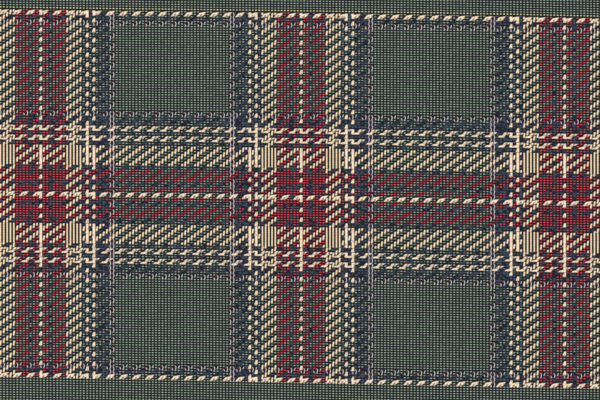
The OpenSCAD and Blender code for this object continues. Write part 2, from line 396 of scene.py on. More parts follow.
def section(s):
    """Cross-section of the flattened tube at each distance in s, from the inner flap's free edge
    round the face to the outer flap's free edge. Both sides roll over in a half circle, the face is
    crowned, and the inner flap dips under the outer one near the centre. Returns x, depth under
    the face's plane, and the flat cloth coordinate across."""
    s = s[:, None]
    half = half_width(s)
    roll = np.minimum(LAYER_T / 2, half * 0.5)
    flat = half - roll
    crown = CROWN * (half / BLADE_HALF) ** 2
    across = np.linspace(-1, 1, FACE_COLS)[None, :]
    turn = np.linspace(0, math.pi, EDGE_COLS + 2)[None, 1:-1]
    along_flap = np.linspace(0, 1, FLAP_COLS)[None, :]

    face_x = flat * across
    face_d = crown * across**4 + 0 * flat
    roll_depth = (BACK - crown) / 2
    roll_x = roll * np.sin(turn)
    roll_d = crown + roll_depth * (1 - np.cos(turn))

    def flap(side):
        """A back flap from the rolled side to its free edge; side is -1 for the inner one."""
        edge = np.minimum(flap_edge(s), flat)
        x = flat + (edge - flat) * along_flap
        d = BACK + 0 * x
        if side < 0:
            overlap = smooth((DIP_EDGE - edge) / (2 * DIP_EDGE))
            d = d - DIP * smooth((DIP_FROM - x) / DIP_OVER) * overlap
        return x, d

    out_x, out_d = flap(1)
    in_x, in_d = flap(-1)
    x = np.concatenate([-in_x[:, ::-1], -(flat + roll_x)[:, ::-1], face_x, flat + roll_x, out_x], 1)
    roll_d = roll_d + 0 * flat
    d = np.concatenate([in_d[:, ::-1], roll_d[:, ::-1], face_d, roll_d, out_d], 1)
    rolled = roll * turn
    wrap = roll * math.pi
    cloth_x = np.concatenate([
        -(flat + wrap + flat - in_x)[:, ::-1], -(flat + rolled)[:, ::-1], face_x,
        flat + rolled, flat + wrap + flat - out_x], 1)
    return x, d, cloth_x


def cloth_coordinates(x_cloth, s, x, at_tip):
    """Flat cloth coordinates turned onto the bias. Behind a point the cloth is folded over its 45
    degree edge, so there a flap's coordinates are the mirror image across that edge."""
    flap = np.zeros(x.shape, bool)
    flap[:, :FLAP_COLS] = True
    flap[:, -FLAP_COLS:] = True
    side = np.sign(x_cloth)
    u, v = x_cloth.copy(), s.copy()
    for near, origin, way in at_tip:
        on = flap & near
        u[on] = (side * (s - origin) * way)[on]
        v[on] = (origin + way * side * x)[on]
    cos, sin = math.cos(BIAS), math.sin(BIAS)
    down = VIEW_AT_S - v
    return np.stack([u * cos + down * sin, -u * sin + down * cos], -1)


def panel(name, s_start, s_end, lean_start, lean_end, shift, extra_stops=()):
    """One cloth panel: the strip between two distances. At a bias seam its end leans at 45 degrees:
    each row's distance shifts with the cloth's own coordinate across, fading over 50 mm, and its
    edge rolls down into the seam. Returns the piece, its cut size and its cut area."""
    bends = (S_FOLD_A, S_UPPER, S_FOLD_B, S_NECK, S_FOLD_C, S_TAIL)
    fold_stops = [k for k in bends if s_start < k < s_end]
    stops = {s_start, s_end, *fold_stops, *extra_stops}
    stops |= {s_start + k for k in SEAM_ROWS if lean_start} | {s_end - k for k in SEAM_ROWS if lean_end}
    stops = sorted(stops)
    parts = []
    for a, b in zip(stops, stops[1:]):
        is_fold = a in fold_stops and b in fold_stops
        step = (b - a) / FOLD_ROWS if is_fold else ROW_STEP
        parts.append(rows_between([a, b], step)[:-1])
    rows = np.concatenate(parts + [[stops[-1]]])
    x, d, cloth_x = section(rows)
    along = np.stack([np.gradient(x, axis=1), np.gradient(d, axis=1)])
    along /= np.linalg.norm(along, axis=0) + 1e-9
    thick = np.minimum(CLOTH_T, half_width(rows) * 0.4)[:, None]
    x_in, d_in = x - along[1] * thick, d + along[0] * thick
    lean = (lean_start * np.clip(1 - (rows - s_start) / LEAN_REACH, 0, 1)
            + lean_end * np.clip(1 - (s_end - rows) / LEAN_REACH, 0, 1))
    s = rows[:, None] + lean[:, None] * cloth_x
    to_seam = np.minimum(rows - s_start if lean_start else 1.0, s_end - rows if lean_end else 1.0)
    roll_in = np.clip(1 - to_seam / SEAM_ROLL, 0, 1)[:, None] ** 2
    sink = SEAM_SINK * roll_in * np.where(d < LAYER_T / 2, 1, -1)
    y, z = strip_place(s, d + sink)
    y_in, z_in = strip_place(s, d_in + sink)
    at_tip = []
    if s_start == 0:
        at_tip.append((s <= BLADE_HALF, 0.0, 1))
    if s_end == S_END:
        at_tip.append((s >= S_END - TAIL_HALF, S_END, -1))
    cloth = cloth_coordinates(cloth_x, s, x, at_tip) + np.array(shift)
    piece = add_solid_sheet(name, np.stack([x, y, z], -1), np.stack([x_in, y_in, z_in], -1), cloth)
    width = cloth_x[:, -1] - cloth_x[:, 0]
    area = float(((width[1:] + width[:-1]) / 2 * np.diff(rows)).sum())
    return piece, (float(width.max()), s_end - s_start), area


# ---------------------------------------------------------------- linings, loop, labels, threads

WOOL_T, WOOL_GAP, WOOL_MARGIN, WOOL_COLS = 1.05 * MM, 0.06 * MM, 1.3 * MM, 31
TIPPING_T, TIPPING_DEPTH, TIPPING_SWELL = 0.16 * MM, 1.86 * MM, 0.22 * MM
TIPPING_MARGIN, TIPPING_COLS, TIPPING_ROWS = 1.3 * MM, 41, 2 * MM
LABEL_T, LABEL_LIFT, LABEL_WAVE, LABEL_CORNER = 0.24 * MM, 0.34 * MM, 0.05 * MM, 1.2 * MM
LABEL_WAVES_ACROSS, LABEL_WAVES_ALONG = 5.2, 3
THREAD_RADIUS, THREAD_RINGS, THREAD_SIDES = 0.17 * MM, 9, 7
LOOP_T, LOOP_INSIDE, LOOP_BEND, LOOP_STEP, LOOP_SIDES = 0.78 * MM, 22 * MM, 1.2 * MM, 1.5 * MM, 40


def interlining(name, s_start, s_end):
    """Wool core of the strip between two distances: it lies against the inside of the face, which it
    follows in its crown and round the folds."""
    rows = rows_between([s_start, s_end], 3 * MM)
    fold_rows = [np.linspace(a, b, FOLD_ROWS + 1) for a, b in
                 ((S_FOLD_A, S_UPPER), (S_FOLD_B, S_NECK), (S_FOLD_C, S_TAIL)) if s_start < a < s_end]
    rows = np.unique(np.concatenate([rows, *fold_rows]))
    margin = WOOL_MARGIN * np.where(half_width(rows) < LAYER_T, 0.5, 1)
    half = np.maximum(half_width(rows) - margin, 0.2 * MM)
    across = np.linspace(-1, 1, WOOL_COLS)[None, :]
    x = half[:, None] * across
    d = CLOTH_T + WOOL_GAP + CROWN * (half[:, None] / BLADE_HALF) ** 2 * across**4
    y, z = strip_place(rows[:, None], d)
    y_in, z_in = strip_place(rows[:, None], d + WOOL_T)
    cloth = np.stack([x, np.broadcast_to(rows[:, None], x.shape)], -1)
    piece = add_solid_sheet(name, np.stack([x, y, z], -1), np.stack([x, y_in, z_in], -1), cloth)
    area = float((half[1:] + half[:-1]) @ np.diff(rows))
    return piece, (2 * float(half.max()), s_end - s_start), area


def tipping(name, at_tail):
    """Lining behind a point: a sheet on the back of the interlining, from just inside the point to
    past the vent. It faces the back, and swells a little in the middle of the window."""
    half_max, vent = (TAIL_HALF, TAIL_VENT) if at_tail else (BLADE_HALF, BLADE_VENT)
    rows = rows_between([2 * MM, half_max, vent + 8 * MM], TIPPING_ROWS)
    s = S_END - rows if at_tail else rows
    half = np.maximum(half_width(s) - TIPPING_MARGIN, 0.3 * MM)[:, None]
    across = np.linspace(-1, 1, TIPPING_COLS)[None, :] * (1 if at_tail else -1)
    x = half * across
    lengthways = smooth(np.sin(math.pi * np.clip(rows / vent, 0, 1)))[:, None]
    swell = smooth(1 - np.abs(across)) * lengthways
    d = TIPPING_DEPTH + TIPPING_SWELL * swell * (rows < vent)[:, None]
    y, z = strip_place(s[:, None], d)
    cloth = np.stack([x, np.broadcast_to(rows[:, None], x.shape)], -1)
    piece = thicken(add_grid(name, np.stack([x, y, z], -1), cloth), TIPPING_T)
    area = float((half[1:, 0] + half[:-1, 0]) @ np.diff(rows))
    return piece, (2 * half_max, vent + 6 * MM), area


def label(name, layer, node):
    """A small label sewn on a layer's back: a sheet with rounded corners whose long sides lie in
    shallow waves between the stitches."""
    low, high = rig.box(node)
    w, h = high[0] - low[0], high[1] - low[1]
    across, along = np.linspace(-1, 1, 49), np.linspace(-1, 1, 33)
    short = np.clip((np.abs(along) * h / 2 - (h / 2 - LABEL_CORNER)) / LABEL_CORNER, 0, 1)
    half = w / 2 - LABEL_CORNER * (1 - np.sqrt(1 - 0.96 * short**2))
    x = across[None, :] * half[:, None]
    y = np.broadcast_to(((low[1] + high[1]) / 2 + along * h / 2)[:, None], x.shape)
    edge = np.abs(along[:, None]) ** 3
    waves = (np.sin(x / w * LABEL_WAVES_ACROSS * math.pi) * edge
             + 0.5 * np.sin(y / h * LABEL_WAVES_ALONG * math.pi) * (1 - edge))
    d = LAYER_T + LABEL_LIFT + LABEL_WAVE * waves
    s = s_at(layer, y)
    turned = -1 if layer == "front" else 1
    y_world, z = strip_place(s, d)
    points = np.stack([x, y_world, z], -1)
    cloth = np.stack([x, y - (low[1] + high[1]) / 2], -1)
    piece = add_grid(name, points[:, ::turned], cloth[:, ::turned])
    piece["half_size"] = [w / 2, h / 2]
    return thicken(piece, LABEL_T), (w, h), w * h


def stitches(name, layer, lines):
    """Threads on a layer's back. lines holds one row a stitch: its ends' y and x, and how far under
    the face its two ends and its middle lie. Each is a round thread along an arch, and its ends
    close to a point inside the cloth."""
    lines = np.array(lines, float)
    t = np.linspace(0, 1, THREAD_RINGS)[None, :]
    y0, x0, y1, x1, d0, d_mid, d1 = (lines[:, k, None] for k in range(7))
    x, y = x0 + (x1 - x0) * t, y0 + (y1 - y0) * t
    arch = np.sin(math.pi * t) ** 0.6
    d = (d0 + (d1 - d0) * t) * (1 - arch) + d_mid * arch
    y_world, z = strip_place(s_at(layer, y), d)
    path = np.stack([x, y_world, z], -1)
    run = np.stack([x1 - x0, y1 - y0, 0 * x0], -1)
    length = np.linalg.norm(run, axis=-1, keepdims=True)
    side = np.cross(run / length, [0, 0, 1.0])
    around = np.linspace(0, 2 * math.pi, THREAD_SIDES + 1)[:-1]
    swell = THREAD_RADIUS * np.sqrt(np.clip(np.sin(math.pi * (0.03 + 0.94 * t)), 0, 1)) ** 0.7
    ring = (np.cos(around)[:, None] * side[:, :, None, :]
            + np.sin(around)[:, None] * np.array([0, 0, 1.0]))
    points = path[:, :, None, :] + swell[:, :, None, None] * ring
    cloth_u = (length[:, :, 0] * t)[:, :, None] + 0 * around
    cloth_v = np.broadcast_to(around / (2 * math.pi), cloth_u.shape)
    return add_tubes(name, points, np.stack([cloth_u, cloth_v], -1))


def rounded_path(corners, reach, step):
    """A path through corners (n, 2) with each corner cut by a parabola that starts at `reach` from
    it, sampled about every `step`."""
    def straight_to(end):
        """The straight run from the path's last point to an end."""
        start = out[-1][-1]
        return np.linspace(start, end, max(2, int(np.linalg.norm(end - start) / step) + 1))

    corners = np.array(corners, float)
    out = [corners[:1]]
    for before, here, after in zip(corners, corners[1:], corners[2:]):
        a = here + (before - here) / np.linalg.norm(before - here) * reach
        b = here + (after - here) / np.linalg.norm(after - here) * reach
        t = np.linspace(0, 1, 7)[:, None]
        out += [straight_to(a)[1:-1], a * (1 - t) ** 2 + 2 * here * t * (1 - t) + b * t**2]
    return np.concatenate(out + [straight_to(corners[-1])[1:]])


def keeper_loop(name):
    """The strip that the tail passes through: a folded band with round edges along a shallow arch
    across the blade's back, its ends laid outwards and sewn down."""
    rounder = LOOP_T / 2
    foot = loop_high[0] - 0.1 * MM
    top = LAYER_T + 0.1 * MM + rounder
    drop = blade_low[2] + LAYER_T - loop_low[2] - rounder
    corners = [(foot, top), (LOOP_INSIDE + rounder, top), (LOOP_INSIDE - 1 * MM + rounder, drop)]
    corners += [(-x, d) for x, d in reversed(corners)]
    path = rounded_path(corners, LOOP_BEND, LOOP_STEP)
    heading = np.gradient(path, axis=0)
    heading /= np.linalg.norm(heading, axis=1, keepdims=True)
    normal = np.stack([-heading[:, 1], heading[:, 0]], -1)
    half = (loop_high[1] - loop_low[1]) / 2 - 0.05 * MM
    turn = np.linspace(0, 2 * math.pi, LOOP_SIDES + 1)[:-1]
    w = np.sign(np.cos(turn)) * (half - rounder) * np.abs(np.cos(turn)) ** 0.35 + rounder * np.cos(turn)
    h = rounder * np.sign(np.sin(turn)) * np.abs(np.sin(turn)) ** 0.3
    from_end = np.minimum(np.arange(len(path)), np.arange(len(path))[::-1])
    close = np.minimum(1, np.sqrt(np.clip(from_end / 2, 0.04, 1)))
    x = path[:, :1] + normal[:, :1] * h * close[:, None]
    d = path[:, 1:] + normal[:, 1:] * h * close[:, None]
    middle = (loop_low[1] + loop_high[1]) / 2
    y, z = strip_place(s_at("front", middle) + w[None, :], d)
    length = np.concatenate([[0], np.cumsum(np.linalg.norm(np.diff(path, axis=0), axis=1))])
    cloth_u = np.broadcast_to(length[:, None], x.shape)
    cloth_v = np.broadcast_to(np.where(h > 0, w, 4 * half - w)[None, :], x.shape)
    points = np.stack([x, y, z], -1)
    piece = add_tubes(name, points[None], np.stack([cloth_u, cloth_v], -1)[None])
    return piece, (2 * half, float(length[-1]))


# ---------------------------------------------------------------- shader helpers

def srgb(*screen):
    """Linear colour from red, green and blue screen values of 0 to 255."""
    value = np.array(screen) / 255
    linear = np.where(value <= 0.04045, value / 12.92, ((value + 0.055) / 1.055) ** 2.4)
    return (*linear.tolist(), 1.0)


def plug(tree, slot, value):
    """Links a value made by nodes to a socket, or sets the socket to a plain value."""
    if isinstance(value, Wire):
        tree.links.new(value.socket, slot)
    else:
        slot.default_value = value


def add_node(tree, kind, settings=None, values=None, output=0):
    """Adds a node: first its settings, of which "stops" are a ramp's constant steps, then the values
    or links of its sockets, by name or number. Returns one of its outputs."""
    made = tree.nodes.new(kind)
    for key, value in (settings or {}).items():
        if key == "stops":
            set_steps(made.color_ramp, value)
        else:
            setattr(made, key, value)
    for key, value in (values or {}).items():
        plug(tree, made.inputs[key], value)
    return Wire(tree, made.outputs[output])


def set_steps(ramp, stops):
    """Gives a ramp constant steps: stops are (position, colour), the first at 0."""
    ramp.interpolation = "CONSTANT"
    while len(ramp.elements) > 1:
        ramp.elements.remove(ramp.elements[-1])
    ramp.elements[0].position = 0
    ramp.elements[0].color = stops[0][1]
    for position, colour in stops[1:]:
        ramp.elements.new(position).color = colour


def maths(operation, swapped=False):
    """A method of a value that adds one Math node, with the value first, or last if swapped."""
    def method(self, *others):
        """Takes the node's other values."""
        values = (self, *others)[::-1] if swapped else (self, *others)
        return add_node(self.tree, "ShaderNodeMath", {"operation": operation}, dict(enumerate(values)))
    return method


class Wire:
    """A value inside a material: operators on it add Math nodes."""

    def __init__(self, tree, socket):
        self.tree = tree
        self.socket = socket

    def output(self, which):
        """Another output of the node that this value comes from."""
        return Wire(self.tree, self.socket.node.outputs[which])

    __add__ = maths("ADD")
    __radd__ = maths("ADD")
    __sub__ = maths("SUBTRACT")
    __rsub__ = maths("SUBTRACT", swapped=True)
    __mul__ = maths("MULTIPLY")
    __rmul__ = maths("MULTIPLY")
    __truediv__ = maths("DIVIDE")
    __rtruediv__ = maths("DIVIDE", swapped=True)
    __gt__ = maths("GREATER_THAN")
    __lt__ = maths("LESS_THAN")
    __pow__ = maths("POWER")
    __abs__ = maths("ABSOLUTE")
    atleast = maths("MAXIMUM")
    atmost = maths("MINIMUM")
    cosine = maths("COSINE")
    sine = maths("SINE")
    floor = maths("FLOOR")
    between = maths("WRAP")

    def __round__(self):
        """The nearest whole number."""
        return (self + 0.5).floor()

    def cycle(self, length):
        """Runs from 0 to the length, over and over."""
        return self.between(length, 0)

    def clamp(self):
        """Held between 0 and 1."""
        return self.atmost(1.0).atleast(0.0)

    def ripple(self, length):
        """A wave from 0 to 1 that repeats every length, and is 1 where the value is 0."""
        return (self * (2 * math.pi / length)).cosine() * 0.5 + 0.5


def blend_colour(tree, share, first, second):
    """The first colour where share is 0 and the second where it is 1."""
    return add_node(tree, "ShaderNodeMix", {"data_type": "RGBA"}, {0: share, 6: first, 7: second}, 2)


def stripe_shares(tree, thread, count, sett):
    """Four shares of the stripe that a whole thread number falls in: the steps of a ramp."""
    stops = [(first / count, shares) for first, shares in sett]
    ramp = add_node(tree, "ShaderNodeValToRGB", {"stops": stops}, {0: (thread + 0.5) / count})
    split = add_node(tree, "ShaderNodeSeparateColor", None, {0: ramp})
    return [split.output(k) for k in range(3)] + [ramp.output(1)]


def chance_of(tree, a, b):
    """An even random value from 0 to 1 for each pair of numbers."""
    place = add_node(tree, "ShaderNodeCombineXYZ", None, {"X": a, "Y": b})
    settings = {"noise_dimensions": "2D"}
    return add_node(tree, "ShaderNodeTexWhiteNoise", settings, {"Vector": place}, "Value")


def cloth_uv(tree):
    """The piece's flat cloth coordinates, as two values."""
    uv = add_node(tree, "ShaderNodeUVMap", {"uv_map": "cloth"})
    split = add_node(tree, "ShaderNodeSeparateXYZ", None, {0: uv})
    return split, split.output(1)


def noise(tree, scale, detail=2.0):
    """Soft noise from 0 to 1 in the object's own space; scale is in cells a metre."""
    place = add_node(tree, "ShaderNodeTexCoord", output="Object")
    values = {"Vector": place, "Scale": scale, "Detail": detail}
    return add_node(tree, "ShaderNodeTexNoise", None, values)


def add_bump(tree, shader, height, depth, strength=1.0):
    """Relief of a surface: height runs from about 0 to 1, and depth is how deep that is."""
    values = {"Strength": strength, "Distance": depth, "Height": height}
    plug(tree, shader.inputs["Normal"], add_node(tree, "ShaderNodeBump", None, values))


def new_material(name):
    """A material with its node tree and its shader."""
    material = bpy.data.materials.new(name)
    material.use_nodes = True
    tree = material.node_tree
    return material, tree, tree.nodes["Principled BSDF"]


# ---------------------------------------------------------------- the tartan weave

COL_PITCH, ROW_PITCH = 0.3343 * MM, 0.2511 * MM
COL_REPEAT, ROW_REPEAT = 80, 216
# Unevenness of the cloth: rows climb a little, and both thread sets swim in slow waves
SKEW = 0.0170
COL_WAVE, COL_WAVE_LENGTH, COL_WAVE_START = 0.188 * MM, 56 * MM, 0.398
ROW_WAVE, ROW_WAVE_LENGTH, ROW_WAVE_START = 0.077 * MM, 98 * MM, 1.915
MIDDLE_COLUMN, MIDDLE_ROW = 0.176 * MM, 0.423 * MM
# What a stripe is made of, as (red, cream, pale blue, navy) shares; 0.5 cream is a wide band
GREEN, RED, BAND, LINE = (0, 0, 0, 0), (1, 0, 0, 0), (0, 0.5, 0, 0), (0, 1, 0, 0)
PALE_BLUE, NAVY, STRAW = (0, 0, 1, 0), (0, 0, 0, 1), (0, 0, 0.5, 0)
# Stripes outwards from the middle of each sett, as (first thread, stripe)
COLUMN_SETT = [(0, LINE), (1, RED), (3, NAVY), (4, RED), (8, BAND), (13, NAVY), (14, LINE),
               (15, NAVY), (16, LINE), (17, NAVY), (21, PALE_BLUE), (23, GREEN)]
ROW_SETT = [(0, LINE), (1, RED), (3, NAVY), (5, RED), (10, NAVY), (12, BAND), (20, NAVY), (22, LINE),
            (24, NAVY), (26, LINE), (28, NAVY), (32, PALE_BLUE), (34, GREEN), (69, PALE_BLUE),
            (71, NAVY), (73, LINE), (75, STRAW), (76, GREEN)]
PLAIN_FROM = 74.5
ROW_STEPS, COLUMN_STEPS = 109, 41
TWILL = 4
FLOAT_CELLS = 2
FLOAT_DROP = 0.45

INK = srgb(13, 13, 18)
NAVY_GROUND, DIM_GREEN = srgb(27, 29, 42), srgb(34, 38, 38)
DOT_GREEN, DOT_RED, DOT_NAVY = srgb(166, 184, 166), srgb(252, 72, 98), srgb(80, 96, 106)
DOT_STRAW = srgb(225, 222, 165)
# The pink cream is painted shade, used in the furrows between the ridges of the cream blobs
CREAM, CREAM_SHADE, PINK_CREAM_SHADE = srgb(250, 234, 204), srgb(226, 192, 148), srgb(226, 190, 164)
BLUE_STROKE, RED_FLECK = srgb(206, 208, 210), srgb(130, 46, 60)

# Sizes of the marks, in cells: half widths, then leans, bows and soft edges
DOT_WIDE, DOT_HIGH = 0.34, 0.25
DASH_WIDE, DASH_SQUEEZED, DASH_LEAN, DASH_AT = 0.30, 0.05, 0.13, 0.14
STROKE_WIDE, STROKE_BOW, STROKE_AT = 0.16, 0.26, 0.14
BLOB_SPREAD, BLOB_AT, BLOB_RIGHT, BAR_LEFT = 0.3, 0.12, 0.56, 0.4
LINE_HIGH, LINE_LEAN, LINE_SLANT, LINE_AT = 0.95, 0.3, 0.4, 2.5
HOLE_WIDE, HOLE_HIGH, HOLE_X, HOLE_Y = 0.32, 0.42, 1.05, 0.35
RIDGE_LENGTH, RIDGE_LEAN = 0.46, 0.1


def row_stripes(tree, row):
    """Stripe shares of a row, and 1 where it lies in the plain ground between two tartan bands."""
    centred = (row + ROW_REPEAT / 2).cycle(ROW_REPEAT) - ROW_REPEAT / 2
    from_middle = abs(centred - 0.5) - 0.5
    red, cream, pale, navy = stripe_shares(tree, from_middle, ROW_STEPS, ROW_SETT)
    pale = pale * (pale > 0.75).atleast(centred < 0)
    return [red, cream, pale, navy], from_middle > PLAIN_FROM


def column_stripes(tree, column):
    """Stripe shares of a column, which run by even distance from the middle of its red stripe."""
    from_pivot = abs((column + COL_REPEAT / 2).cycle(COL_REPEAT) - COL_REPEAT / 2)
    return stripe_shares(tree, from_pivot, COLUMN_STEPS, COLUMN_SETT)


def hump(value, half, top=1.2):
    """1 in the middle, and 0 past the half width, with a soft edge."""
    return (top - (value / half) ** 2.0).clamp()


def oval(x, half_x, y, half_y):
    """1 in the middle of an oval, and 0 outside it, with a soft edge."""
    return (1.2 - (x / half_x) ** 2.0 - (y / half_y) ** 2.0).clamp()


def float_ends(along, fade_in, fade_out, length=FLOAT_CELLS):
    """1 along a float, fading at its two ends."""
    return (along / fade_in).atmost((length - along) / fade_out).clamp()


def wide_band(cream):
    """1 where the cream share says a wide band, and not a single line."""
    return abs(cream - 0.5) < 0.2


def weave_pattern(tree, u, v):
    """The cloth's colour and relief from its flat coordinates. Threads lie on a lattice of cells; a
    2/2 twill shows the column's stripe in two cells of four and the row's in the other two. Green
    and red show as one dot a cell, cream and pale blue as upright floats two cells long."""
    col_wave = (u * (2 * math.pi / COL_WAVE_LENGTH) + COL_WAVE_START).sine() * COL_WAVE
    row_wave = ((u + v) * (2 * math.pi / ROW_WAVE_LENGTH) + ROW_WAVE_START).sine() * ROW_WAVE
    x = (u + col_wave - MIDDLE_COLUMN) / COL_PITCH
    y = (v + row_wave + MIDDLE_ROW - u * SKEW) / ROW_PITCH
    column = round(x)
    across = x - column
    column_parts = column_stripes(tree, column)

    # Dots: one a cell
    row = round(y)
    down = y - row
    row_parts, plain = row_stripes(tree, row)
    shows = (abs((column + row).cycle(TWILL) - 1.5) < 1.0) * (1 - plain)
    red, cream, pale, navy = [r + (c - r) * shows for r, c in zip(row_parts, column_parts)]
    is_red, is_navy, straw = red > 0.5, navy > 0.5, wide_band(pale)
    dotted = 1 - (cream > 0.25).atleast(pale > 0.75)
    dot = oval(across, DOT_WIDE, down, DOT_HIGH) * dotted

    # Floats: their cells sit a little lower
    low_y = y - FLOAT_DROP
    low_row = round(low_y)
    low_parts, low_plain = row_stripes(tree, low_row)
    phase = (column + low_y - 0.5).cycle(TWILL)
    along = phase.cycle(FLOAT_CELLS)
    on_column = (phase < 2.0) * (1 - low_plain)
    on_row = 1 - on_column
    row_band = wide_band(low_parts[1])
    row_line = low_parts[1] > 0.75
    column_band = wide_band(column_parts[1]) * (1 - low_plain)
    both = row_band * column_band
    band = (row_band * on_row).atleast(column_band * on_column)

    # Dashes of the wide bands: each leans, and where two bands cross they run on upright
    ends = float_ends(along, 0.35, 0.3).atleast(both)
    off = across - (DASH_AT - DASH_LEAN * along) * (1 - both)
    lobes = (along - 0.5).ripple(1.0)
    dash = hump(off, DASH_WIDE - DASH_SQUEEZED * both) * (0.2 + 0.8 * ends) * band

    # Pale blue strokes: thin and bowed, each with a red fleck at its top left
    pale_run = (low_parts[3] > 0.5).atleast(low_parts[1] > 0.25)
    pale_column = (column_parts[2] > 0.75) * on_column.atleast(pale_run) * (1 - low_plain)
    pale_float = ((low_parts[2] > 0.75) * on_row).atleast(pale_column)
    bow = across - STROKE_AT + (along - 1) ** 2.0 * STROKE_BOW
    stroke = pale_float * hump(bow, STROKE_WIDE, 1.1) * (0.35 + 0.5 * ends)
    fleck = pale_float * (along < 0.7) * (across < -0.05)

    # A cream line along a row: slanted blobs that lean with the twill
    side = 1 - 2 * (low_y < 0.5)
    sub = side * ((abs(low_y - 0.5) + 1).cycle(2) - 1)
    slant = (x + low_y - LINE_SLANT * sub - LINE_AT).cycle(TWILL)
    hole = oval(slant - HOLE_X, HOLE_WIDE, sub - HOLE_Y, HOLE_HIGH)
    flat = ((LINE_HIGH - abs(sub + LINE_LEAN * (slant - 1))) / 0.25).clamp()
    row_blob = row_line * float_ends(slant, 0.3, 0.3) * flat * (1 - 0.8 * hole)

    # A cream line along a column: blobs that spread to the left as they go down
    solid = row_band.atleast(row_line)

    def column_blob(parts, offset, its_phase):
        """One column's blobs, or its bar where it crosses a band or a line of rows."""
        left = ((offset + BLOB_SPREAD * its_phase + BLOB_AT) / 0.22).clamp()
        right = ((BLOB_RIGHT - offset) / 0.16).clamp()
        one = (its_phase < 2.0) * left * float_ends(its_phase, 0.3, 0.25, 1.9)
        bar = solid * ((offset + BAR_LEFT) / 0.2).clamp()
        return (parts[1] > 0.75) * one.atleast(bar) * right * (1 - low_plain)

    next_parts = column_stripes(tree, column + 1)
    blob = column_blob(column_parts, across, phase).atleast(
        column_blob(next_parts, across - 1, (phase + 1).cycle(TWILL)))

    # Colours, from the ground up. No two dots are equally bright
    chance = chance_of(tree, column, row)
    fleck_chance = chance_of(tree, round(x * 2), round(y * 2) + 0.5)
    ground = blend_colour(tree, hump(down, 0.5, 1.0) * 0.7, INK, DIM_GREEN)
    ground = blend_colour(tree, is_navy, ground, NAVY_GROUND)
    ground = blend_colour(tree, is_navy * (fleck_chance > 0.7) * 0.35, ground, DOT_NAVY)
    spot = blend_colour(tree, is_red, DOT_GREEN, DOT_RED)
    spot = blend_colour(tree, is_navy, spot, DOT_NAVY)
    spot = blend_colour(tree, straw, spot, DOT_STRAW)
    strength = (0.66 + 0.34 * chance) * (1 - is_navy * (chance < 0.4))
    colour = blend_colour(tree, dot * strength, ground, spot)
    colour = blend_colour(tree, fleck * 0.5, colour, RED_FLECK)
    colour = blend_colour(tree, stroke, colour, BLUE_STROKE)
    cream_dash = blend_colour(tree, lobes * 0.6 + chance * 0.3, CREAM_SHADE, CREAM)
    colour = blend_colour(tree, dash, colour, cream_dash)
    # Cream blobs: painted highlight on the crests of slanting ridges and painted shade in pink cream between them; the
    # ridges have no relief of their own
    ridge = (x + RIDGE_LEAN * y).ripple(RIDGE_LENGTH) * 0.8
    cream_blob = blend_colour(tree, ridge + fleck_chance * 0.3, PINK_CREAM_SHADE, CREAM)
    gaps = 1 - (1 - ridge) * (fleck_chance > 0.72) * 0.5
    colour = blend_colour(tree, row_blob.atleast(blob) * gaps, colour, cream_blob)
    relief = (dot * 0.5).atleast(dash).atleast(row_blob).atleast(blob).atleast(stroke * 0.7)
    return colour, relief


def weave_material():
    """Silk jacquard on the bias: the tartan pattern, a soft sheen, and thread relief."""
    material, tree, shader = new_material("woven silk tartan")
    colour, relief = weave_pattern(tree, *cloth_uv(tree))
    shader.inputs["Specular IOR Level"].default_value = 0.08
    shader.inputs["Roughness"].default_value = 0.6
    plug(tree, shader.inputs["Base Color"], colour)
    add_bump(tree, shader, relief, 0.08 * MM, 0.25)
    return material


# ---------------------------------------------------------------- the other materials

def satin_material():
    """Dark green satin: fine warp threads with small breaks, and a bright soft gloss."""
    material, tree, shader = new_material("dark green satin")
    u, v = cloth_uv(tree)
    pitch = 0.16 * MM
    thread = u.ripple(pitch)
    tie = ((v / (1.3 * MM) + round(u / pitch) * 0.4).cycle(1) < 0.12) * 0.4
    streaks = noise(tree, 900.0) * 0.5 + noise(tree, 90.0) * 0.5
    light = blend_colour(tree, (streaks - 0.3).clamp() * 1.6, srgb(30, 52, 46), srgb(52, 82, 72))
    colour = blend_colour(tree, tie, light, srgb(16, 28, 25))
    plug(tree, shader.inputs["Base Color"], colour)
    plug(tree, shader.inputs["Roughness"], 0.34 + tie * 0.4 + (1 - thread) * 0.1)
    shader.inputs["Specular IOR Level"].default_value = 0.6
    shader.inputs["Sheen Weight"].default_value = 0.2
    add_bump(tree, shader, thread - tie + noise(tree, 60.0) * 8, 0.03 * MM)
    return material


def wool_material():
    """Brushed wool: matted fibres over a coarse plain weave."""
    material, tree, shader = new_material("brushed wool")
    fuzz = noise(tree, 2200.0, 4.0)
    clouds = noise(tree, 160.0)
    colour = blend_colour(tree, fuzz * 0.7 + clouds * 0.3, srgb(196, 186, 162), srgb(238, 231, 214))
    plug(tree, shader.inputs["Base Color"], colour)
    shader.inputs["Roughness"].default_value = 0.95
    shader.inputs["Sheen Weight"].default_value = 0.35
    add_bump(tree, shader, fuzz + clouds, 0.2 * MM)
    return material


